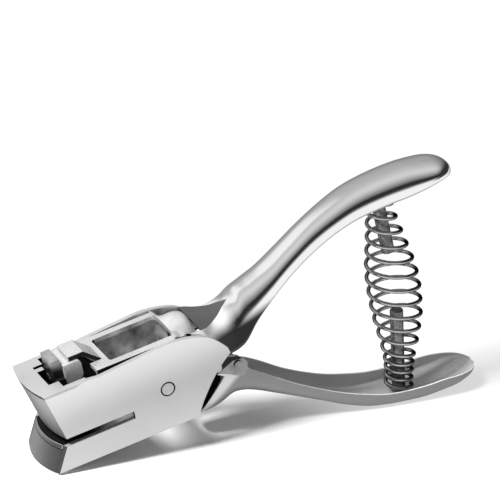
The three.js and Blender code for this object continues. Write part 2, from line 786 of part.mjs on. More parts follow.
const finishes = {
  nickel: { color: 0xd4d4d2, roughness: 0.22, metalness: 1 },
  satin: { color: 0xa9aaab, roughness: 0.38, metalness: 1 },
  toolSteel: { color: 0x8f9091, roughness: 0.42, metalness: 1 },
  spring: { color: 0xb9bab9, roughness: 0.28, metalness: 1 },
};

function meshOf(name, shape, finish) {
  const geometry = shape.isBufferGeometry ? shape : geometryOf(shape);
  geometry.computeVertexNormals();
  const mesh = new THREE.Mesh(geometry, new THREE.MeshStandardMaterial(finishes[finish]));
  mesh.name = name;
  return mesh;
}

// Assembly

const jaw = new THREE.Group();
jaw.rotation.y = -jawPitch;
jaw.position.z = jawLift;
const washerInside = leverHalf + half(cheekInside - leverHalf - washerThickness);
jaw.add(
  meshOf("jaw_housing", makeHousing(), "nickel"),
  meshOf("die_block", makeDieBlock(), "satin"),
  meshOf("die_plate", makeDiePlate(), "nickel"),
  meshOf("punch_guide", makeGuide(), "satin"),
  meshOf("punch_blade", makeBlade(), "toolSteel"),
  meshOf("punch_holder", makeHolder(), "satin"),
  meshOf("holder_rivet", makeHolderRivet(), "nickel"),
  meshOf("punch_return_spring", wireThrough(returnSpringPoints(), half(returnSpringWire)), "spring"),
  meshOf("pivot_pin", crossRod(pinRadius, -jawSide, jawSide, pivotU, pivotV), "nickel"),
  meshOf("pivot_sleeve", makeSleeve(), "satin"),
  meshOf("drive_lever", makeDriveLever(), "nickel"),
);
for (const [name, side] of [["pivot_washer_near", -1], ["pivot_washer_far", 1]]) {
  const ends = [side * washerInside, side * (washerInside + washerThickness)].sort((a, b) => a - b);
  jaw.add(meshOf(name, ringAcross(bearingRadius, washerRadius, ...ends), "satin"));
}

const springPath = springPoints();
const tool = new THREE.Group();
tool.add(
  jaw,
  meshOf("upper_handle", makeUpperHandle(), "nickel"),
  meshOf("lower_handle", makeLowerHandle(), "nickel"),
  meshOf("handle_rivet_front", makeHandleRivet(handleRivets[0]), "nickel"),
  meshOf("handle_rivet_rear", makeHandleRivet(handleRivets[1]), "nickel"),
  meshOf("upper_spring_post", postBetween(upperPostTop - upperPostLength, upperPostTop), "satin"),
  meshOf("lower_spring_post", postBetween(handleSheet + seat, lowerPostTop), "satin"),
  meshOf("handle_spring", wireThrough(springPath, half(springWire)), "spring"),
);
console.log("handle spring least gap " + leastGap(springPath, springWire).toFixed(2) + " mm");
console.log("return spring least gap " + leastGap(returnSpringPoints(), returnSpringWire).toFixed(2) + " mm");

// The origin is below the middle of the tool, on the surface that it stands on.
const box = new THREE.Box3().setFromObject(tool, true);
tool.position.x = -half(box.min.x + box.max.x);
tool.position.z = -box.min.z;

const slotPunch = new THREE.Group();
slotPunch.add(tool);
export default slotPunch;
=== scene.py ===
import bpy, bmesh, math
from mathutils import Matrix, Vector


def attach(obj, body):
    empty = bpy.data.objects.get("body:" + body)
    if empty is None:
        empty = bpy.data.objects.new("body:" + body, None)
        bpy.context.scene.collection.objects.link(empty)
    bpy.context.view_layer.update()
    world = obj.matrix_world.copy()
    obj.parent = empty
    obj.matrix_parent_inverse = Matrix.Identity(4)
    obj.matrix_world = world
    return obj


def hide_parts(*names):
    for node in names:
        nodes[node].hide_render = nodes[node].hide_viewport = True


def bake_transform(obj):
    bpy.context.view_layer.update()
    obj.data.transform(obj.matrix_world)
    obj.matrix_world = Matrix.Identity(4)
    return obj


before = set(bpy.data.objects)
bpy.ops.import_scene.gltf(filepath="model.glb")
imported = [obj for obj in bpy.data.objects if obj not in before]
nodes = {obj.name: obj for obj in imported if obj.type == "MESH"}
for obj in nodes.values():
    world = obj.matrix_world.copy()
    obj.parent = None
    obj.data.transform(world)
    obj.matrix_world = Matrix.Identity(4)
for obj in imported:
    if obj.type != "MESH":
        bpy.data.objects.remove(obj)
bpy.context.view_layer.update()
mm = 0.001


def vec(point):
    return Vector([c * mm for c in point])


# The photograph's angle.
cameraLook = {
    "azimuth": -23.5,  # degrees, negative is towards the jaw
    "elevation": 24.0,
    "distance": 1904.8,  # mm, long lens
    "target": (-4.99, -10.85, 65.58),  # mm, middle of the picture
    "lens": 432.0, "sensor": 36, "reach": 20,  # mm, mm, m
}


def makeCamera(look):
    az, el = math.radians(look["azimuth"]), math.radians(look["elevation"])
    back = Vector((math.sin(az) * math.cos(el), -math.cos(az) * math.cos(el), math.sin(el)))
    data = bpy.data.cameras.new("camera")
    data.lens = look["lens"]
    data.sensor_width = look["sensor"]
    data.clip_end = look["reach"]
    cam = bpy.data.objects.new("camera", data)
    cam.location = vec(look["target"]) + back * look["distance"] * mm
    cam.rotation_euler = back.to_track_quat("Z", "Y").to_euler()
    bpy.context.scene.collection.objects.link(cam)
    bpy.context.scene.camera = cam


makeCamera(cameraLook)
print("camera placed")


# Materials: two finishes for metal, as node groups that put out colour, roughness and normal.
finishDetail = {
    "cloud": 3, "cloudFrom": 0.35, "cloudTo": 0.7, "grain": 2, "line": 3,  # noise detail, where clouds show
    "lineSpread": 0.15, "bump": 0.05,  # roughness that a line adds, height of the grain in mm
    "facing": 0.5, "edgeShare": 0.5,  # turned surfaces: blend, how much of the painted edge shade's tone is left
}


def newGroup(name, inputs, outputs):
    group = bpy.data.node_groups.new(name, "ShaderNodeTree")
    for label, kind, value in inputs:
        socket = group.interface.new_socket(label, in_out="INPUT", socket_type=kind)
        if value is not None:
            socket.default_value = value
    for label, kind in outputs:
        group.interface.new_socket(label, in_out="OUTPUT", socket_type=kind)
    return group, group.nodes.new("NodeGroupInput"), group.nodes.new("NodeGroupOutput")


def noise(tree, detail, vector, scale):
    texture = tree.nodes.new("ShaderNodeTexNoise")
    texture.inputs["Detail"].default_value = detail
    tree.links.new(vector, texture.inputs["Vector"])
    if isinstance(scale, (int, float)):
        texture.inputs["Scale"].default_value = scale
    else:
        tree.links.new(scale, texture.inputs["Scale"])
    return texture.outputs["Fac"]


def mathNode(tree, operation, a, b):
    node = tree.nodes.new("ShaderNodeMath")
    node.operation = operation
    tree.links.new(a, node.inputs[0])
    tree.links.new(b, node.inputs[1])
    return node.outputs[0]


def mixColor(tree, share, a, b):
    mix = tree.nodes.new("ShaderNodeMix")
    mix.data_type = "RGBA"
    for source, label in ((share, "Factor"), (a, "A"), (b, "B")):
        tree.links.new(source, mix.inputs[label])
    return mix.outputs["Result"]


# A soft step: where it starts and ends, and what it puts out there.
def softRange(tree, value, ends):
    node = tree.nodes.new("ShaderNodeMapRange")
    node.interpolation_type = "SMOOTHSTEP"
    for label, end in zip(("From Min", "From Max", "To Min", "To Max"), ends):
        node.inputs[label].default_value = end
    tree.links.new(value, node.inputs["Value"])
    return node.outputs["Result"]


def finishOut(tree, gout, color, rough, depth, height):
    bump = tree.nodes.new("ShaderNodeBump")
    bump.inputs["Distance"].default_value = finishDetail["bump"] * mm
    tree.links.new(depth, bump.inputs["Strength"])
    tree.links.new(height, bump.inputs["Height"])
    tree.links.new(color, gout.inputs["Color"])
    tree.links.new(rough, gout.inputs["Roughness"])
    tree.links.new(bump.outputs["Normal"], gout.inputs["Normal"])


# Plated metal: cloudy tone, fine grain, and painted light along one axis: a darker or paler second tone for
# painted shade and painted highlights.
def makePlateGroup():
    group, gin, gout = newGroup("plateFinish", [
        ("Color", "NodeSocketColor", (0.7, 0.7, 0.7, 1)),
        ("Cloud Color", "NodeSocketColor", (0.6, 0.6, 0.6, 1)),
        ("Cloud Scale", "NodeSocketFloat", 60.0),
        ("Roughness", "NodeSocketFloat", 0.25),
        ("Roughness Spread", "NodeSocketFloat", 0.08),
        ("Grain Scale", "NodeSocketFloat", 2500.0),
        ("Grain Depth", "NodeSocketFloat", 0.02),
        ("Shade Axis", "NodeSocketVector", (0.0, 0.0, 1.0)),
        ("Shade From", "NodeSocketFloat", 10.0),
        ("Shade To", "NodeSocketFloat", 11.0),
        ("Shade Color", "NodeSocketColor", (0.1, 0.1, 0.1, 1)),
    ], [("Color", "NodeSocketColor"), ("Roughness", "NodeSocketFloat"), ("Normal", "NodeSocketVector")])
    add, link = group.nodes.new, group.links.new
    place = add("ShaderNodeTexCoord").outputs["Object"]
    ramp = add("ShaderNodeMapRange")
    ramp.inputs["From Min"].default_value = finishDetail["cloudFrom"]
    ramp.inputs["From Max"].default_value = finishDetail["cloudTo"]
    link(noise(group, finishDetail["cloud"], place, gin.outputs["Cloud Scale"]), ramp.inputs["Value"])
    tone = mixColor(group, ramp.outputs["Result"], gin.outputs["Color"], gin.outputs["Cloud Color"])
    along = add("ShaderNodeVectorMath")
    along.operation = "DOT_PRODUCT"
    link(place, along.inputs[0])
    link(gin.outputs["Shade Axis"], along.inputs[1])
    shade = add("ShaderNodeMapRange")
    shade.interpolation_type = "SMOOTHSTEP"
    link(along.outputs["Value"], shade.inputs["Value"])
    link(gin.outputs["Shade From"], shade.inputs["From Min"])
    link(gin.outputs["Shade To"], shade.inputs["From Max"])
    shaded = mixColor(group, shade.outputs["Result"], tone, gin.outputs["Shade Color"])
    grain = noise(group, finishDetail["grain"], place, gin.outputs["Grain Scale"])
    spread = mathNode(group, "MULTIPLY", grain, gin.outputs["Roughness Spread"])
    rough = mathNode(group, "ADD", gin.outputs["Roughness"], spread)
    finishOut(group, gout, shaded, rough, gin.outputs["Grain Depth"], grain)
    return group


# Ground or brushed steel: lines along one axis.
def makeBrushGroup():
    group, gin, gout = newGroup("brushedFinish", [
        ("Color", "NodeSocketColor", (0.5, 0.5, 0.5, 1)),
        ("Line Color", "NodeSocketColor", (0.4, 0.4, 0.4, 1)),
        ("Stretch", "NodeSocketVector", (200.0, 3000.0, 3000.0)),
        ("Roughness", "NodeSocketFloat", 0.35),
        ("Line Depth", "NodeSocketFloat", 0.1),
    ], [("Color", "NodeSocketColor"), ("Roughness", "NodeSocketFloat"), ("Normal", "NodeSocketVector")])
    add, link = group.nodes.new, group.links.new
    scale = add("ShaderNodeVectorMath")
    scale.operation = "MULTIPLY"
    link(add("ShaderNodeTexCoord").outputs["Object"], scale.inputs[0])
    link(gin.outputs["Stretch"], scale.inputs[1])
    lines = noise(group, finishDetail["line"], scale.outputs["Vector"], 1)
    tone = mixColor(group, lines, gin.outputs["Color"], gin.outputs["Line Color"])
    rough = add("ShaderNodeMath")
    rough.operation = "MULTIPLY_ADD"
    rough.inputs[1].default_value = finishDetail["lineSpread"]
    link(lines, rough.inputs[0])
    link(gin.outputs["Roughness"], rough.inputs[2])
    finishOut(group, gout, tone, rough.outputs[0], gin.outputs["Line Depth"], lines)
    return group


plateGroup = makePlateGroup()
brushGroup = makeBrushGroup()


# edge: painted shade where the sheet turns away, from edgeFrom on. Last argument: mm along x (start, end)
# and least share of metal; less metal there leaves a pale patch that paints a highlight.
def metalMaterial(name, group, values, edge=0.45, edgeFrom=0.78, metal=1.0, duller=None):
    mat = bpy.data.materials.new(name)
    mat.use_nodes = True
    tree = mat.node_tree
    shader = tree.nodes["Principled BSDF"]
    shader.inputs["Metallic"].default_value = metal
    shader.inputs["Specular Tint"].default_value = grey(edge)
    finish = tree.nodes.new("ShaderNodeGroup")
    finish.node_tree = group
    for label, value in values.items():
        finish.inputs[label].default_value = value
    # Painted shade: the sheet darkens where it turns away from the eye.
    facing = tree.nodes.new("ShaderNodeLayerWeight")
    facing.inputs["Blend"].default_value = finishDetail["facing"]
    turned = tree.nodes.new("ShaderNodeMapRange")
    turned.inputs["From Min"].default_value = edgeFrom
    tree.links.new(facing.outputs["Facing"], turned.inputs["Value"])
    dark = tree.nodes.new("ShaderNodeMix")
    dark.data_type = "RGBA"
    dark.blend_type = "MULTIPLY"
    dark.inputs["B"].default_value = grey(edge * finishDetail["edgeShare"])
    tree.links.new(turned.outputs["Result"], dark.inputs["Factor"])
    tree.links.new(finish.outputs["Color"], dark.inputs["A"])
    tree.links.new(dark.outputs["Result"], shader.inputs["Base Color"])
    tree.links.new(finish.outputs["Roughness"], shader.inputs["Roughness"])
    tree.links.new(finish.outputs["Normal"], shader.inputs["Normal"])
    # Less metal below the given x: the plate turns diffuse and pale there, a painted highlight.
    if duller:
        start, end, least = duller
        place = tree.nodes.new("ShaderNodeTexCoord")
        parts = tree.nodes.new("ShaderNodeSeparateXYZ")
        tree.links.new(place.outputs["Object"], parts.inputs[0])
        mirror = softRange(tree, parts.outputs["X"], (start * mm, end * mm, least, metal))
        tree.links.new(mirror, shader.inputs["Metallic"])
    return mat


def grey(value):
    return (value, value, value, 1)


def plate(name, color, cloud, scale, rough, spread, grain, depth, shade={}, **look):
    values = {"Color": grey(color), "Cloud Color": grey(cloud), "Cloud Scale": scale, "Roughness": rough,
              "Roughness Spread": spread, "Grain Scale": grain, "Grain Depth": depth, **shade}
    return metalMaterial(name, plateGroup, values, **look)


def brushed(name, color, line, stretch, rough, depth, **look):
    values = {"Color": grey(color), "Line Color": grey(line), "Stretch": stretch, "Roughness": rough,
              "Line Depth": depth}
    return metalMaterial(name, brushGroup, values, **look)


# Painted light: a darker or paler second tone that begins and is full at these mm along an axis.
def paintedLightAlong(axis, start, end, color):
    return {"Shade Axis": axis, "Shade From": start * mm, "Shade To": end * mm, "Shade Color": grey(color)}


# plate: colour, cloud colour, cloud scale, roughness, its spread, grain scale, grain depth
# brushed: colour, line colour, stretch of the lines, roughness, line depth
finishes = {
    # Cheeks: paler towards the top bend, a painted highlight.
    "cheekPlate": plate("cheekPlate", 0.485, 0.45, 45.0, 0.30, 0.10, 3200.0, 0.12,
                        shade=paintedLightAlong((-0.225, 0.0, 0.974), 29.0, 47.0, 0.84)),
    # Top faces: a more diffuse copy of the plate that reads paler under the lamp, painted light.
    "deckPlate": plate("deckPlate", 0.53, 0.47, 90.0, 0.30, 0.10, 3200.0, 0.15, metal=0.45),
    # Apron: a darker copy of the plate, darker again towards the bottom, painted shade.
    "apronPlate": plate("apronPlate", 0.43, 0.40, 60.0, 0.32, 0.10, 3200.0, 0.12,
                        shade=paintedLightAlong((0.0, 0.0, -1.0), -27.0, -13.0, 0.20)),
    # Upper handle: painted shade at the root below a slanting plane, and a pale less metallic patch at the
    # root's left, a painted highlight.
    "handlePlate": plate("handlePlate", 0.92, 0.88, 30.0, 0.11, 0.05, 2600.0, 0.03,
                         shade=paintedLightAlong((0.371, 0.0, -0.928), -42.4, -38.9, 0.03),
                         duller=(-13.5, -8.5, 0.55)),
    "leverPlate": plate("leverPlate", 0.66, 0.56, 90.0, 0.22, 0.10, 2800.0, 0.04, metal=0.5),
    "lugPlate": plate("lugPlate", 0.30, 0.20, 320.0, 0.30, 0.10, 2800.0, 0.20),
    # Lower handle: a pale strip at the root and darker beyond it, painted highlight and painted shade.
    "lowerPlate": plate("lowerPlate", 0.66, 0.60, 90.0, 0.32, 0.08, 3600.0, 0.10, metal=0.45,
                        shade=paintedLightAlong((0.738, 0.0, -0.674), -19.6, -17.2, 0.235)),
    # Inside of the lower handle: paler towards the far wall and the tip, painted light.
    "lowerInside": plate("lowerInside", 0.36, 0.30, 60.0, 0.60, 0.08, 3600.0, 0.12, metal=0.1,
                         shade=paintedLightAlong((0.15, 1.0, 0.0), 3.0, 9.5, 0.76)),
    # The lower handle's sheet edge: near white, a painted highlight.
    "rimHighlight": plate("rimHighlight", 0.95, 0.85, 400.0, 0.22, 0.10, 3600.0, 0.10, metal=0.2),
    # The upper handle's rim: a grey line, black at the root, painted shade.
    "rimShadeLine": plate("rimShadeLine", 0.50, 0.40, 400.0, 0.22, 0.10, 3600.0, 0.10,
                     shade=paintedLightAlong((0.371, 0.0, -0.928), -41.6, -39.4, 0.06)),
    # The root's flat: a darker tone that paints its dark reflection.
    "facetDarkReflection": plate("facetDarkReflection", 0.34, 0.30, 80.0, 0.55, 0.10, 4200.0, 0.25),
    # Die: darker towards the near side, painted shade.
    "dieSteel": plate("dieSteel", 0.34, 0.30, 90.0, 0.40, 0.12, 3000.0, 0.12,
                      shade=paintedLightAlong((0.0, -1.0, 0.0), -8.0, 13.0, 0.10)),
    # Near black for hollows, gaps and inner faces: painted shade.
    "darkInside": plate("darkInside", 0.035, 0.025, 90.0, 0.55, 0.12, 2600.0, 0.15),
    # Grey for the faces seen through the window: painted light.
    "windowPaintedLight": plate("windowPaintedLight", 0.80, 0.12, 150.0, 0.50, 0.12, 2600.0, 0.15, metal=0.1),
    # Inner steel of the sleeve, washers and handle insides; at the back of the throat it paints light.
    "innerSteelAndPaintedLight": plate("innerSteelAndPaintedLight", 0.60, 0.45, 120.0, 0.40, 0.12, 2600.0, 0.15, metal=0.4),
    # Floor of the slot: pale at the back and black at the front, painted light and painted shade.
    "slotFloor": plate("slotFloor", 0.95, 0.85, 200.0, 0.40, 0.10, 2600.0, 0.10, metal=0.7,
                       shade=paintedLightAlong((-1.0, 0.0, 0.0), 52.5, 61.0, 0.02)),
    "groundSteel": brushed("groundSteel", 0.80, 0.62, (900.0, 60.0, 900.0), 0.22, 0.1),
    # Blade: black below, lighter above, painted shade.
    "bladeSteel": plate("bladeSteel", 0.42, 0.28, 420.0, 0.30, 0.12, 3000.0, 0.15, metal=0.5,
                        shade=paintedLightAlong((0.0, 0.0, -1.0), -35.0, -31.8, 0.02)),
    "holderSteel": brushed("holderSteel", 0.72, 0.42, (900.0, 120.0, 900.0), 0.28, 0.1, metal=0.35),
    "pinSteel": brushed("pinSteel", 0.52, 0.36, (1200.0, 1200.0, 1200.0), 0.28, 0.1),
    "postSteel": brushed("postSteel", 0.42, 0.03, (900.0, 900.0, 1400.0), 0.32, 0.4, edgeFrom=0.2),
    # Spring wire: strongly darkened edges, painted shade.
    "wireSteel": brushed("wireSteel", 0.90, 0.45, (900.0, 900.0, 900.0), 0.10, 0.05, edge=0.04,
                         edgeFrom=-0.35),
}
print("materials made", len(finishes))


# Meshes.
meshLook = {
    "sharp": 35, "bevelAngle": 30, "bevelSteps": 2, "flatWeight": 80,  # degrees, degrees
    "join": 0.002, "flatWithin": 0.6, "cut": 0.001,  # mm, degrees between faces that are one, mm
}


def smooth(value, low, high):
    t = min(max((value - low) / (high - low), 0), 1)
    return t * t * (3 - 2 * t)


# Blended pieces have no body of their own.
def placePiece(name, mesh, body, node):
    piece = bpy.data.objects.new(name, mesh)
    bpy.context.scene.collection.objects.link(piece)
    if body:
        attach(piece, body)
    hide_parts(node)
    return piece


def smoothByAngle(mesh, degrees=meshLook["sharp"]):
    bm = bmesh.new()
    bm.from_mesh(mesh)
    for face in bm.faces:
        face.smooth = True
    for edge in bm.edges:
        edge.smooth = len(edge.link_faces) == 2 and edge.calc_face_angle(0) < math.radians(degrees)
    bm.to_mesh(mesh)
    bm.free()


def addBevel(piece, width, segments=meshLook["bevelSteps"], degrees=meshLook["bevelAngle"], material=-1):
    bevel = piece.modifiers.new("roundedEdges", "BEVEL")
    bevel.width = width * mm
    bevel.segments = segments
    bevel.limit_method = "ANGLE"
    bevel.angle_limit = math.radians(degrees)
    bevel.use_clamp_overlap = True
    bevel.material = material
    flat = piece.modifiers.new("flatFaces", "WEIGHTED_NORMAL")
    flat.keep_sharp = True
    flat.weight = meshLook["flatWeight"]


# A finished copy of a solid: flat faces joined, edges rounded, faces painted by where they lie.
def finishedCopy(node, name, body, finish, slot, edge, paints=(), shape=None, material=-1):
    mesh = nodes[node].data.copy()
    mesh.name = name
    mesh.materials.clear()
    mesh.materials.append(finishes[finish])
    bm = bmesh.new()
    bm.from_mesh(mesh)
    bmesh.ops.remove_doubles(bm, verts=bm.verts, dist=meshLook["join"] * mm)
    bmesh.ops.dissolve_limit(bm, angle_limit=math.radians(meshLook["flatWithin"]), verts=bm.verts,
                             edges=bm.edges)
    bmesh.ops.recalc_face_normals(bm, faces=bm.faces)
    if shape:
        shape(bm)
    bm.normal_update()
    for index, (painted, test) in enumerate(paints, 1):
        mesh.materials.append(finishes[painted])
        for face in bm.faces:
            if test(face.normal, face.calc_center_median() / mm):
                face.material_index = index
    bm.to_mesh(mesh)
    bm.free()
    smoothByAngle(mesh)
    piece = placePiece(name, mesh, body, node)
    addBevel(piece, edge, material=material)
    return piece


# The jaw's own frame: u runs back along the jaw, v up across it, both in mm.
toolShift = (-71.911, 0.031)  # mm, from the jaw's corner to the middle of the tool
jawFrame = {"pitch": 13.0, "lift": 0.675}  # degrees, mm


def intoJaw(point):
    tilt = math.radians(jawFrame["pitch"])
    x, z = point.x - toolShift[0], point.z - toolShift[1] - jawFrame["lift"]
    return x * math.cos(tilt) + z * math.sin(tilt), z * math.cos(tilt) - x * math.sin(tilt)


def fromJaw(u, y, v):
    tilt = math.radians(jawFrame["pitch"])
    return (u * math.cos(tilt) - v * math.sin(tilt) + toolShift[0], y,
            u * math.sin(tilt) + v * math.cos(tilt) + jawFrame["lift"] + toolShift[1])


lever = {
    "cuts": (-7.0, -5.6, -4.2, -2.8, -1.4, 0.0, 1.4, 2.8, 4.2, 5.6, 7.0),  # mm across, for the arch
    "arch": (48.0, 53.0),  # mm along the jaw, where the saddle's arch begins and is full
    "archFoot": (21.0, 26.0),  # mm up, below it nothing moves
    "crest": 0.9, "drop": 3.2, "half": 7.6, "bend": 2.2,  # mm up in the middle, down at the sides
    "saddleAhead": 1, "saddleHalf": 9.6, "window": (30, 50),
    "lug": [((57.3, 22.6), (62.4, 26.2)), ((62.4, 26.2), (66.6, 26.5))],  # mm, painted shade above these lines
}


def aboveLine(look, k, point):
    (x0, z0), (x1, z1) = look["lug"][k]
    x, z = point.x - toolShift[0], point.z - toolShift[1]
    return (z - z0) * (x1 - x0) - (x - x0) * (z1 - z0) > 0


def inLug(point):
    return not aboveLine(lever, 0, point) and not aboveLine(lever, 1, point)


def cutAcross(bm, geometry, place, normal):
    bmesh.ops.bisect_plane(bm, geom=geometry, plane_co=place, plane_no=normal, dist=meshLook["cut"] * mm)


# Cuts the lever where its tone changes to painted shade, and bends the saddle into an arch.
def shapeLever(bm):
    for y in lever["cuts"]:
        cutAcross(bm, bm.verts[:] + bm.edges[:] + bm.faces[:], vec((0, y, 0)), (0, 1, 0))
    for (x0, z0), (x1, z1) in lever["lug"]:
        start = vec((x0 + toolShift[0], 0, z0 + toolShift[1]))
        cutAcross(bm, bm.verts[:] + bm.edges[:] + bm.faces[:], start, (z1 - z0, 0, x0 - x1))
    for vert in bm.verts:
        u, v = intoJaw(vert.co / mm)
        along = smooth(u, *lever["arch"]) * smooth(v, *lever["archFoot"])
        share = min(abs(vert.co.y / mm) / lever["half"], 1)
        fall = (lever["crest"] + lever["drop"]) * share ** lever["bend"]
        vert.co.z += along * (lever["crest"] - fall) * mm


def onSaddle(point):
    u, v = intoJaw(point)
    ahead = lever["arch"][0] - lever["saddleAhead"]
    return ahead < u and v > lever["archFoot"][0] and abs(point.y) < lever["saddleHalf"]


housing = {  # mm in the jaw's frame
    "nose": 5.5, "line": 27.05,  # how far back the front goes, foot of the line of painted shade below the top plate
    "throat": (8.3, 11.2), "throatEnd": 29.5, "throatMouth": 11, "window": (30, 60), "inside": 11.9,
    "dieTop": 8.5,
}
facingFrom = {  # least share of a face's normal that points that way
    "top": 0.25, "down": 0.8, "leverDown": 0.6, "front": 0.5, "apron": 0.55, "side": 0.6, "in": 0.7,
}


def onNose(normal, centre, least=facingFrom["front"]):
    return normal.x < -least and intoJaw(centre)[0] < housing["nose"]


# Cuts the nose along the thin line of painted shade below the top plate's front edge.
def shapeJaw(bm):
    tilt = math.radians(jawFrame["pitch"])
    up = Vector((-math.sin(tilt), 0, math.cos(tilt)))
    corner = vec((toolShift[0], 0, toolShift[1] + jawFrame["lift"]))
    front = [face for face in bm.faces if onNose(face.normal, face.calc_center_median() / mm)]
    edges = {edge for face in front for edge in face.edges}
    verts = {vert for face in front for vert in face.verts}
    geometry = front + sorted(edges, key=lambda e: e.index) + sorted(verts, key=lambda v: v.index)
    cutAcross(bm, geometry, corner + up * housing["line"] * mm, up)


def inwards(normal, centre):
    return normal.y * centre.y < 0 and abs(normal.y) > facingFrom["in"]


def inThroat(centre):
    u, v = intoJaw(centre)
    return housing["throat"][0] < v < housing["throat"][1] and u < housing["throatEnd"]


def inWindow(normal, centre, window):
    return inwards(normal, centre) and window[0] < intoJaw(centre)[0] < window[1]


# Painted faces: finish, test of a face's normal and centre. A later line wins.
housingPaints = [
    # The back of the throat in a paler inner tone: painted light.
    ("innerSteelAndPaintedLight", lambda n, c: inThroat(c) and intoJaw(c)[0] > housing["throatMouth"]),
    # Faces turned up take that paler copy: painted light.
    ("deckPlate", lambda n, c: n.z > facingFrom["top"]),
    # Painted shade in the throat, on faces turned inwards and on inside faces turned down.
    ("darkInside", lambda n, c: inThroat(c) and n.z < 0),
    ("darkInside", inwards),
    # Faces seen through the window: painted light.
    ("windowPaintedLight", lambda n, c: inWindow(n, c, housing["window"])),
    ("darkInside", lambda n, c: n.z < -facingFrom["down"] and abs(c.y) < housing["inside"]),
    # The apron takes its darker copy: painted shade.
    ("apronPlate", lambda n, c: onNose(n, c, facingFrom["apron"]) and intoJaw(c)[1] > housing["throat"][1]),
    # A thin line of painted shade below the top plate's front edge.
    ("darkInside", lambda n, c: onNose(n, c) and intoJaw(c)[1] > housing["line"]),
    # The nose below the die's top takes the die's tone with its painted shade.
    ("dieSteel", lambda n, c: onNose(n, c) and intoJaw(c)[1] < housing["dieTop"]),
]
# Lever: painted shade on the sides beside the cheeks, below and inside; painted light in the window.
leverPaints = [
    ("darkInside", lambda n, c: abs(n.y) > facingFrom["side"] and not inLug(c) and not onSaddle(c)),
    ("lugPlate", lambda n, c: abs(n.y) > facingFrom["side"] and inLug(c)),
    ("darkInside", lambda n, c: n.z < -facingFrom["leverDown"]),
    ("darkInside", inwards),
    ("windowPaintedLight", lambda n, c: inWindow(n, c, lever["window"])),
]
# Die plate: painted shade on the front and at the mouth, painted light and shade on the slot floor.
diePlatePaints = [
    ("dieSteel", lambda n, c: n.x < -facingFrom["front"]),
    ("darkInside", lambda n, c: abs(n.z) > facingFrom["in"] and intoJaw(c)[0] < housing["throatMouth"]),
    ("slotFloor", lambda n, c: n.z > facingFrom["in"]),
]
# The pin's sides and rounded edges: painted shade, a dark ring in the cheek.
pinPaints = [("darkInside", lambda n, c: abs(n.y) < facingFrom["front"])]
# node: new name, body, finish, slot, rounded edge in mm, painted faces, shape, finish number of the edges
solidPieces = {
    "jaw_housing": ("jawHousing", "frame", "cheekPlate", "nickel_plate", 0.3, housingPaints, shapeJaw),
    "drive_lever": ("driveLever", "lever", "leverPlate", "nickel_plate", 0.25, leverPaints, shapeLever),
    "die_block": ("dieBlock", "frame", "dieSteel", "satin_steel", 0.25),
    "die_plate": ("diePlate", "frame", "groundSteel", "ground_steel", 0.1, diePlatePaints, None, 0),
    # The guide sits in the throat and is all painted shade.
    "punch_guide": ("punchGuide", "frame", "darkInside", "satin_steel", 0.2),
    "punch_blade": ("punchBlade", "punch", "bladeSteel", "tool_steel", 0.2),
    "punch_holder": ("punchHolder", "punch", "holderSteel", "satin_steel", 0.3),
    "pivot_pin": ("pivotPin", "frame", "pinSteel", "rivet_steel", 0.25, pinPaints, None, 1),
    "handle_rivet_front": ("rivetFront", "lever", "pinSteel", "rivet_steel", 0.1),
    "handle_rivet_rear": ("rivetRear", "lever", "lugPlate", "rivet_steel", 0.1),
    "upper_spring_post": ("upperPost", "frame", "postSteel", "satin_steel", 0.4),
    "lower_spring_post": ("lowerPost", "lever", "postSteel", "satin_steel", 0.4),
}
for node, values in solidPieces.items():
    finishedCopy(node, *values)
hiddenPieces = {"holder_rivet": "pinSteel", "pivot_sleeve": "innerSteelAndPaintedLight", "pivot_washer_near": "innerSteelAndPaintedLight",
                "pivot_washer_far": "innerSteelAndPaintedLight"}
for node, finish in hiddenPieces.items():
    nodes[node].material_slots[0].material = finishes[finish]
print("jaw, lever and small pieces finished")


# Row of a table at a share along it, on a smooth curve through the rows.
def rowAt(rows, share):
    i = next((k for k, row in enumerate(rows) if row[0] >= share), len(rows) - 1)
    i = max(i, 1)
    a, b = rows[i - 1], rows[i]
    before, after = rows[max(i - 2, 0)], rows[min(i + 1, len(rows) - 1)]
    span = b[0] - a[0]
    t = (share - a[0]) / span
    out = []
    for k in range(len(a)):
        slopeIn = (b[k] - before[k]) / (b[0] - before[0]) * span
        slopeOut = (after[k] - a[k]) / (after[0] - a[0]) * span
        rise = b[k] - a[k]
        bend = 3 * rise - 2 * slopeIn - slopeOut
        out.append(a[k] + t * (slopeIn + t * (bend + t * (slopeIn + slopeOut - 2 * rise))))
    return out


# The handles: pressed sheet, with arch sections read from rows of shares along the length.
handleMesh = {
    "crowding": 1.25,  # above 1 the sections stand closer towards the end
    "edge": 0.5, "edgeGrowth": 7,  # radians, half the arch's middle stretch, how it grows after the flat
    "join": 0.005, "collapse": 0.002,  # mm
    "thinnest": 0.9,  # share of the sheet that tight bends keep
    "sharp": 40, "rimSteps": 3,  # degrees, steps of the rounded rim
    "cutterHalf": 12, "cutterAhead": 2,  # mm
}
tiny = 1e-6
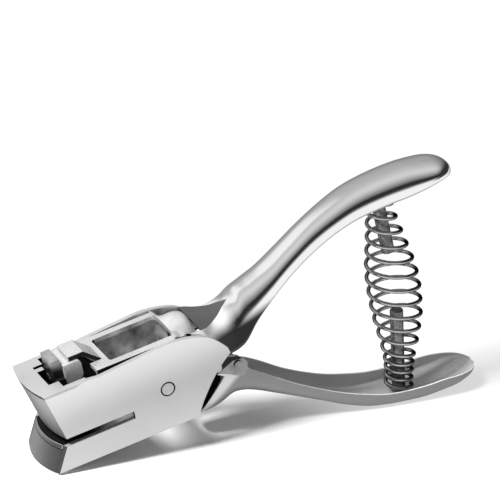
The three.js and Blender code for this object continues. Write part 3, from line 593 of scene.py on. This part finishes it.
# Finishes of a handle: outside, its flat or root, then both again for the inside and for the rim.
flatFinish, insideFinish, rimFinish = 1, 2, 4
upperHandle = {
    "start": 46.8, "length": 94.5, "base": 40.295, "height": 41.53,  # mm along, mm up
    "width": 19.4, "sheet": 1.4, "side": 1, "stations": 160, "steps": 30, "rimRound": 0.35,
    "squareness": [(0.0, 2.5), (1.0, 2.5)],  # share along, squareness
    "limits": (0, 81.40),  # mm, lowest and highest
    # the root's flat: share along and rise; then where it narrows, half its width in mm, its tip
    "web": [(-0.03, -0.012), (0.0466, -0.005), (0.081, 0.0018), (0.1757, 0.1051)],
    "facet": (0.081, 7.58, 0.1757),
    "webFrom": 50.6,  # mm, where the flat starts between the sides
    "finishes": ("handlePlate", "facetDarkReflection", "innerSteelAndPaintedLight", "innerSteelAndPaintedLight", "rimShadeLine", "rimShadeLine"),
    "rows": [  # share along, crest, rim, half width
        (0, 0.24, -0.375, 1.1856), (0.024, 0.2, -0.358, 1.1856), (0.0466, 0.157, -0.337, 1.1856),
        (0.0783, 0.061, -0.29, 1.1856), (0.1153, 0.037, -0.24, 1.1856), (0.1492, 0.0706, -0.222, 1.1856),
        (0.1767, 0.1067, -0.195, 1.17), (0.2032, 0.169, -0.15, 1.13), (0.2458, 0.228, -0.012, 1.03),
        (0.3048, 0.316, 0.128, 0.9), (0.3759, 0.456, 0.287, 0.815), (0.4571, 0.615, 0.446, 0.8),
        (0.5384, 0.746, 0.579, 0.845), (0.6197, 0.851, 0.678, 0.91), (0.7185, 0.928, 0.753, 0.97),
        (0.82, 0.978, 0.808, 1), (0.894, 0.99, 0.858, 0.975), (0.932, 0.99, 0.882, 0.9),
        (0.962, 0.981, 0.893, 0.755), (0.981, 0.965, 0.894, 0.56), (0.993, 0.942, 0.892, 0.36),
        (1, 0.91, 0.887, 0.13),
    ],
}
lowerHandle = {
    "start": 52.0, "length": 98.9, "base": 0.0, "height": 25.237,
    "width": 19.4, "sheet": 1.4, "side": -1, "stations": 160, "steps": 30, "rimRound": 0.35,
    "squareness": [(0.0, 4.2), (1.0, 4.2)],
    "limits": (-0.03, 90),
    # slanting front edge of the sides: share along, share up
    "ear": [(0, 0.29), (0.083, 0.805), (0.045, 0.87), (0.02, 0.9), (0.02, 1.2)],
    "finishes": ("lowerPlate", "lowerPlate", "lowerInside", "darkInside", "rimHighlight", "darkInside"),
    "paintedShadeRoot": 0.11,  # share along, up to here the inside and the sheet's edge take painted shade
    "rows": [
        (0, 0.29, 1.05, 0.6082), (0.051, 0.33, 1.07, 0.6082), (0.081, 0.385, 1.07, 0.6082),
        (0.122, 0.49, 1.04, 0.6082), (0.147, 0.51, 0.93, 0.6082), (0.172, 0.51, 0.84, 0.63),
        (0.213, 0.48, 0.77, 0.72), (0.264, 0.42, 0.675, 0.785), (0.345, 0.31, 0.518, 0.76),
        (0.426, 0.2, 0.393, 0.785), (0.507, 0.09, 0.292, 0.85), (0.588, 0.015, 0.226, 0.935),
        (0.649, 0, 0.192, 0.98), (0.71, 0, 0.19, 1), (0.791, 0.015, 0.215, 1.01), (0.858, 0.06, 0.255, 1),
        (0.909, 0.108, 0.268, 0.965), (0.944, 0.16, 0.275, 0.86), (0.968, 0.2, 0.28, 0.72),
        (0.984, 0.232, 0.283, 0.53), (0.994, 0.253, 0.285, 0.335), (1, 0.268, 0.286, 0.13),
    ],
}


def between(rows, value):
    for (x0, y0), (x1, y1) in zip(rows, rows[1:]):
        if value <= x1:
            return y0 + (y1 - y0) * max(value - x0, 0) / (x1 - x0)
    return rows[-1][1]


# Height of the root's flat, which ends in a triangle with its tip on the crest.
def webHeight(look, share):
    start, wide, tip = look["facet"]
    if share < start:
        return look["base"] + between(look["web"], share) * look["height"]
    _, crest, rim, width = rowAt(look["rows"], share)
    across = wide * max(tip - share, 0) / (tip - start) / (width * look["width"] / 2)
    bend = between(look["squareness"], share)
    return look["base"] + (rim + (crest - rim) * (1 - across ** bend) ** (1 / bend)) * look["height"]


# Angles round the arch; the middle stretch is the flat where there is one.
def archAngles(look, share, rim, depth, power):
    edge = handleMesh["edge"]
    if "web" in look:
        last = look["web"][-1][0]
        if share < last:
            up = min(max((webHeight(look, share) - rim) / depth, 0), 1)
            edge = math.pi / 2 - math.asin(up ** (1 / power))
        else:
            edge = min((share - last) * handleMesh["edgeGrowth"], edge)
    steps, middle = look["steps"], look["steps"] // 2
    angles = [(math.pi / 2 - edge) * j / steps for j in range(steps + 1)]
    angles += [math.pi / 2 - edge + 2 * edge * j / middle for j in range(1, middle)]
    angles += [math.pi - a for a in reversed(angles[:steps + 1])]
    return angles


def handleSection(look, share):
    _, crest, rim, width = rowAt(look["rows"], share)
    x = look["start"] + share * look["length"]
    z = look["base"] + rim * look["height"]
    depth = look["side"] * (crest - rim) * look["height"]
    half = width * look["width"] / 2
    power = 2 / between(look["squareness"], share)
    ring = []
    for angle in archAngles(look, share, z, depth, power):
        c, s = math.cos(angle), abs(math.sin(angle))
        y = math.copysign(abs(c) ** power, c) * half
        top = z + look["side"] * depth * s ** power
        if "web" in look and share < look["web"][-1][0]:
            top = min(top, webHeight(look, share))
        top = min(max(top, look["limits"][0]), look["limits"][1])
        ring.append((x + toolShift[0], y, top + toolShift[1]))
    return ring


def makeHandle(name, look, body, node):
    stations = look["stations"]
    shares = [1 - (1 - i / stations) ** handleMesh["crowding"] for i in range(stations + 1)]
    webFrom = (look["webFrom"] - look["start"]) / look["length"] if "web" in look else 0
    webEnd = look["web"][-1][0] if "web" in look else 0
    for share in [webFrom, webEnd] if webEnd else []:
        nearest = min(range(len(shares)), key=lambda k: abs(shares[k] - share))
        shares[nearest] = share
    rings = [handleSection(look, share) for share in shares]
    count = len(rings[0])
    bm = bmesh.new()
    grid = [[bm.verts.new(vec(p)) for p in ring] for ring in rings]
    steps, middle = look["steps"], look["steps"] // 2
    for i in range(len(rings) - 1):
        flat = shares[i + 1] <= webEnd + tiny
        gap = shares[i + 1] <= webFrom + tiny
        for j in range(count - 1):
            inMiddle = steps <= j < steps + middle
            if inMiddle and gap:
                continue
            corners = (grid[i][j], grid[i][j + 1], grid[i + 1][j + 1], grid[i + 1][j])
            face = bm.faces.new(corners if look["side"] > 0 else corners[::-1])
            # Flat faces take the facet's tone; on the lower handle the root's inside and edge take painted
            # shade.
            if inMiddle and flat or shares[i] < look.get("paintedShadeRoot", 0):
                face.material_index = flatFinish
            # The outer ring next to the rim takes the painted shade line.
            if j in (0, count - 2) and webEnd:
                face.material_index = rimFinish
    bmesh.ops.remove_doubles(bm, verts=bm.verts, dist=handleMesh["join"] * mm)
    bmesh.ops.dissolve_degenerate(bm, edges=bm.edges, dist=handleMesh["collapse"] * mm)
    mesh = bpy.data.meshes.new(name)
    bm.to_mesh(mesh)
    bm.free()
    for finish in look["finishes"]:
        mesh.materials.append(finishes[finish])
    piece = placePiece(name, mesh, body, node)
    shell = piece.modifiers.new("sheet", "SOLIDIFY")
    shell.thickness = look["sheet"] * mm
    shell.offset = -1
    shell.use_even_offset = True
    shell.thickness_clamp = handleMesh["thinnest"]
    shell.material_offset = insideFinish
    shell.material_offset_rim = rimFinish
    return piece


def applyModifiers(piece):
    graph = bpy.context.evaluated_depsgraph_get()
    mesh = bpy.data.meshes.new_from_object(piece.evaluated_get(graph))
    piece.modifiers.clear()
    piece.data = mesh


# The slanting front edge of the lower handle's sides.
def cutEar(piece, look):
    outline = [(look["start"] + a * look["length"] + toolShift[0], b * look["height"])
               for a, b in look["ear"]]
    ahead = look["start"] - handleMesh["cutterAhead"] + toolShift[0]
    outline += [(ahead, outline[-1][1]), (ahead, outline[0][1])]
    half = handleMesh["cutterHalf"]
    verts = [(x, y, z) for y in (-half, half) for x, z in outline]
    n = len(outline)
    faces = [list(range(n)), list(range(2 * n - 1, n - 1, -1))]
    faces += [(k, k + n, (k + 1) % n + n, (k + 1) % n) for k in range(n)]
    mesh = bpy.data.meshes.new("earCutter")
    mesh.from_pydata([vec(v) for v in verts], [], faces)
    cutter = bpy.data.objects.new("earCutter", mesh)
    bpy.context.scene.collection.objects.link(cutter)
    bm = bmesh.new()
    bm.from_mesh(mesh)
    bmesh.ops.recalc_face_normals(bm, faces=bm.faces)
    bm.to_mesh(mesh)
    bm.free()
    cut = piece.modifiers.new("ear", "BOOLEAN")
    cut.object = cutter
    cut.operation = "DIFFERENCE"
    cut.solver = "EXACT"
    bpy.context.view_layer.update()
    applyModifiers(piece)
    bpy.data.objects.remove(cutter)


upperPiece = makeHandle("upperHandle", upperHandle, "frame", "upper_handle")
applyModifiers(upperPiece)
lowerPiece = makeHandle("lowerHandle", lowerHandle, "lever", "lower_handle")
cutEar(lowerPiece, lowerHandle)
for piece, look in ((upperPiece, upperHandle), (lowerPiece, lowerHandle)):
    smoothByAngle(piece.data, handleMesh["sharp"])
    addBevel(piece, look["rimRound"], handleMesh["rimSteps"], handleMesh["sharp"])
print("handles made")


# The springs: round wire, mm, turns counted from the top.
barrelSpring = {
    "wire": 1.3, "radius": 8.5, "top": 75.423, "floor": 2.65,
    "x": 124.6, "lean": 6.9, "leanStart": 14, "leanSpan": 50, "leanPower": 1.6,
    "closePitch": 2.8, "closeTop": 1.5, "open": 11.5, "closeBottom": 4,  # mm, then turns
    "stepsPerTurn": 30, "sides": 12, "sharp": 60,
    "radii": [  # share up, share of the radius
        (0, 0.506), (0.08, 0.506), (0.15, 0.57), (0.22, 0.7), (0.29, 0.82), (0.36, 0.93),
        (0.43, 0.975), (0.5, 1), (0.57, 0.97), (0.63, 0.9), (0.7, 0.782), (0.78, 0.653), (0.85, 0.56),
        (1, 0.52),
    ],
}
returnSpring = {
    "wire": 0.7, "radius": 1.9, "u": 16, "low": 13.85, "high": 24.25, "turns": 5,
    "stepsPerTurn": 24, "sides": 10, "sharp": 60,
}


def tubeThrough(points, radius, sides):
    verts, faces = [], []
    side = Vector((0, 1, 0))
    points = [Vector(p) for p in points]
    for i, point in enumerate(points):
        ahead = (points[min(i + 1, len(points) - 1)] - points[max(i - 1, 0)]).normalized()
        side = (side - ahead * side.dot(ahead)).normalized()
        other = ahead.cross(side)
        for j in range(sides):
            turn = 2 * math.pi * j / sides
            verts.append(point + side * radius * math.cos(turn) + other * radius * math.sin(turn))
    for i in range(len(points) - 1):
        for j in range(sides):
            a, b = i * sides + j, i * sides + (j + 1) % sides
            faces.append((a, b, b + sides, a + sides))
    last = (len(points) - 1) * sides
    faces.append(list(range(sides))[::-1])
    faces.append([last + j for j in range(sides)])
    return verts, faces


def barrelPoints(look):
    span = look["top"] - look["floor"]
    turns = look["closeTop"] + look["open"] + look["closeBottom"]
    openPitch = (span - (look["closeTop"] + look["closeBottom"]) * look["closePitch"]) / look["open"]
    points = []
    for i in range(int(turns * look["stepsPerTurn"]) + 1):
        t = i / look["stepsPerTurn"]
        closed = min(t, look["closeTop"]) + max(t - look["closeTop"] - look["open"], 0)
        spread = min(max(t - look["closeTop"], 0), look["open"])
        z = look["top"] - look["closePitch"] * closed - openPitch * spread
        radius = rowAt(look["radii"], (z - look["floor"]) / span)[1] * look["radius"]
        lean = max((z - look["leanStart"]) / look["leanSpan"], 0) ** look["leanPower"]
        x = look["x"] - look["lean"] * lean
        turn = 2 * math.pi * t
        points.append((x + radius * math.cos(turn) + toolShift[0], radius * math.sin(turn),
                       z + toolShift[1]))
    return points


def returnPoints(look):
    points = []
    total = look["turns"] * look["stepsPerTurn"]
    for i in range(total + 1):
        turn = 2 * math.pi * i / look["stepsPerTurn"]
        u = look["u"] + look["radius"] * math.cos(turn)
        v = look["low"] + (look["high"] - look["low"]) * i / total
        points.append(fromJaw(u, look["radius"] * math.sin(turn), v))
    return points


def windSpring(name, look, points, node):
    verts, faces = tubeThrough(points, look["wire"] / 2, look["sides"])
    mesh = bpy.data.meshes.new(name)
    mesh.from_pydata([vec(v) for v in verts], [], faces)
    mesh.materials.append(finishes["wireSteel"])
    smoothByAngle(mesh, look["sharp"])
    return placePiece(name, mesh, None, node)


barrel = windSpring("barrelSpring", barrelSpring, barrelPoints(barrelSpring), "handle_spring")
lifter = windSpring("returnSpring", returnSpring, returnPoints(returnSpring), "punch_return_spring")
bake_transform(barrel)
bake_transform(lifter)
print("springs wound")


# The studio in metres: floor, even fill, one lamp, and a dome for the reflections.
studio = {
    "floorSize": 6.0, "floorTone": 0.90, "floorRoughness": 0.9,
    "glow": (0.15, 0.26), "glowStretch": (1.0, 4.0, 1.0),  # where the floor turns white
    "shadeAt": (-0.045, -0.012, 0.0), "shade": (0.045, 0.095, 0.05, 0.62),  # radii, least and most white
    "worldFill": 0.24, "keyPower": 30.0, "keySize": 0.40, "keyAt": (-0.74, -0.11, 1.05),
    "domeRadius": 0.75, "domeHeight": 0.05, "domeAngles": (-4, 90), "domeTurns": 96, "domeUps": 48,
    # degrees from the front horizon over the top to the back, how much the dome hides
    "domeShares": [(-8, 0), (12, 0), (18, 0.35), (25, 0.88), (30, 0.96), (47, 0.985), (53, 0.92),
                   (60, 0.80), (70, 0.68), (80, 0.55), (90, 0.42), (100, 0.32), (112, 0.30), (122, 0.38),
                   (135, 0.45), (150, 0.50), (172, 0.54), (180, 0.54)],
    # degrees up at the right side, how much the dome hides there
    "sideShares": [(-2, 0), (2, 0.95), (45, 0.98), (60, 0.75), (80, 0.50), (90, 0.42)],
    "stripOver": (130, 142, 154, 164), "stripLeft": (0.10, 0.28),  # pale strip at the back left
    "sideFrom": 0.45, "sideFull": 0.80,  # how far to the right the side's own shares take over
}


# 1 for what the eye or a reflection sees, 0 for light that falls on things.
def seenRays(tree):
    path = tree.nodes.new("ShaderNodeLightPath")
    seen = mathNode(tree, "MAXIMUM", path.outputs["Is Camera Ray"], path.outputs["Is Glossy Ray"])
    return mathNode(tree, "MAXIMUM", seen, path.outputs["Is Transmission Ray"])


def mixShaders(tree, share, a, b, out):
    mix = tree.nodes.new("ShaderNodeMixShader")
    for source, socket in ((share, "Fac"), (a, 1), (b, 2)):
        tree.links.new(source, mix.inputs[socket])
    tree.links.new(mix.outputs[0], out)


def vectorNode(tree, operation, source, value, output):
    node = tree.nodes.new("ShaderNodeVectorMath")
    node.operation = operation
    node.inputs[1].default_value = value
    tree.links.new(source, node.inputs[0])
    return node.outputs[output]


def makeFloor(look):
    size = look["floorSize"] / 2
    corners = [(-size, -size, 0), (size, -size, 0), (size, size, 0), (-size, size, 0)]
    mesh = bpy.data.meshes.new("floor")
    mesh.from_pydata(corners, [], [(0, 1, 2, 3)])
    floor = bpy.data.objects.new("floor", mesh)
    bpy.context.scene.collection.objects.link(floor)
    mat = bpy.data.materials.new("paleFloor")
    mat.use_nodes = True
    tree = mat.node_tree
    shader = tree.nodes["Principled BSDF"]
    shader.inputs["Base Color"].default_value = grey(look["floorTone"])
    shader.inputs["Roughness"].default_value = look["floorRoughness"]
    place = tree.nodes.new("ShaderNodeTexCoord").outputs["Object"]
    # Far from the object the floor shows as plain white paper.
    stretched = vectorNode(tree, "MULTIPLY", place, look["glowStretch"], "Vector")
    far = softRange(tree, vectorNode(tree, "LENGTH", stretched, (0, 0, 0), "Value"), look["glow"])
    # The shadow is deepest below the jaw and thins out below the handle, where the floor's glow paints
    # light over it.
    offset = vectorNode(tree, "DISTANCE", place, look["shadeAt"], "Value")
    white = mathNode(tree, "MAXIMUM", far, softRange(tree, offset, look["shade"]))
    share = mathNode(tree, "MULTIPLY", seenRays(tree), white)
    glow = tree.nodes.new("ShaderNodeEmission")
    out = tree.nodes["Material Output"].inputs["Surface"]
    mixShaders(tree, share, shader.outputs[0], glow.outputs[0], out)
    mesh.materials.append(mat)


# White to the eye and in reflections, a weaker fill for everything else.
def makeWorld(look):
    world = bpy.data.worlds.new("studio")
    bpy.context.scene.world = world
    world.use_nodes = True
    tree = world.node_tree
    tree.nodes.clear()
    fill = tree.nodes.new("ShaderNodeBackground")
    fill.inputs["Strength"].default_value = look["worldFill"]
    fill.inputs["Color"].default_value = grey(1)
    white = tree.nodes.new("ShaderNodeBackground")
    white.inputs["Color"].default_value = grey(1)
    out = tree.nodes.new("ShaderNodeOutputWorld")
    mixShaders(tree, seenRays(tree), fill.outputs[0], white.outputs[0], out.inputs["Surface"])


def makeKey(look):
    data = bpy.data.lights.new("softBox", "AREA")
    data.energy = look["keyPower"]
    data.size = look["keySize"]
    lamp = bpy.data.objects.new("softBox", data)
    lamp.location = look["keyAt"]
    lamp.rotation_euler = Vector(look["keyAt"]).to_track_quat("Z", "Y").to_euler()
    lamp.visible_glossy = False
    bpy.context.scene.collection.objects.link(lamp)


# How much the dome hides one way: the front's and the right side's shares, less the pale strip.
def domeHides(look, way):
    over = math.degrees(math.atan2(way.z, -way.y))
    if over < -90:
        over = 180  # below the back horizon
    up = math.degrees(math.asin(way.z))
    side = smooth(way.x, look["sideFrom"], look["sideFull"])
    hidden = between(look["domeShares"], over) * (1 - side) + between(look["sideShares"], up) * side
    strip = smooth(over, *look["stripOver"][:2]) * (1 - smooth(over, *look["stripOver"][2:]))
    return hidden * (1 - strip * smooth(-way.x, *look["stripLeft"]))


# Grey dome that only reflections see: gives the plated sheet its dark and pale bands.
def makeDome(look):
    turns, ups = look["domeTurns"], look["domeUps"]
    low, high = look["domeAngles"]
    verts, shares, faces = [], [], []
    for j in range(ups + 1):
        b = math.radians(low + (high - low) * j / ups)
        for k in range(turns):
            a = math.tau * k / turns
            way = Vector((math.cos(b) * math.cos(a), math.cos(b) * math.sin(a), math.sin(b)))
            verts.append(way * look["domeRadius"] + Vector((0, 0, look["domeHeight"])))
            shares.append(domeHides(look, way))
    for j in range(ups):
        for k in range(turns):
            below, after = j * turns, (k + 1) % turns
            faces.append((below + k, below + after, below + turns + after, below + turns + k))
    mesh = bpy.data.meshes.new("greyDome")
    mesh.from_pydata(verts, [], faces)
    layer = mesh.attributes.new("hides", "FLOAT", "POINT")
    for k, share in enumerate(shares):
        layer.data[k].value = share
    mat = bpy.data.materials.new("greyDome")
    mat.use_nodes = True
    tree = mat.node_tree
    shader = tree.nodes["Principled BSDF"]
    shader.inputs["Base Color"].default_value = grey(0.0)
    shader.inputs["Specular IOR Level"].default_value = 0.0
    clear = tree.nodes.new("ShaderNodeBsdfTransparent")
    hides = tree.nodes.new("ShaderNodeAttribute")
    hides.attribute_name = "hides"
    out = tree.nodes["Material Output"].inputs["Surface"]
    mixShaders(tree, hides.outputs["Fac"], clear.outputs[0], shader.outputs[0], out)
    mesh.materials.append(mat)
    dome = bpy.data.objects.new("greyDome", mesh)
    bpy.context.scene.collection.objects.link(dome)
    dome.visible_camera = False
    dome.visible_diffuse = False
    dome.visible_shadow = False


for make in (makeFloor, makeWorld, makeKey, makeDome):
    make(studio)
bpy.context.scene.view_settings.view_transform = "Standard"
print("studio lit")
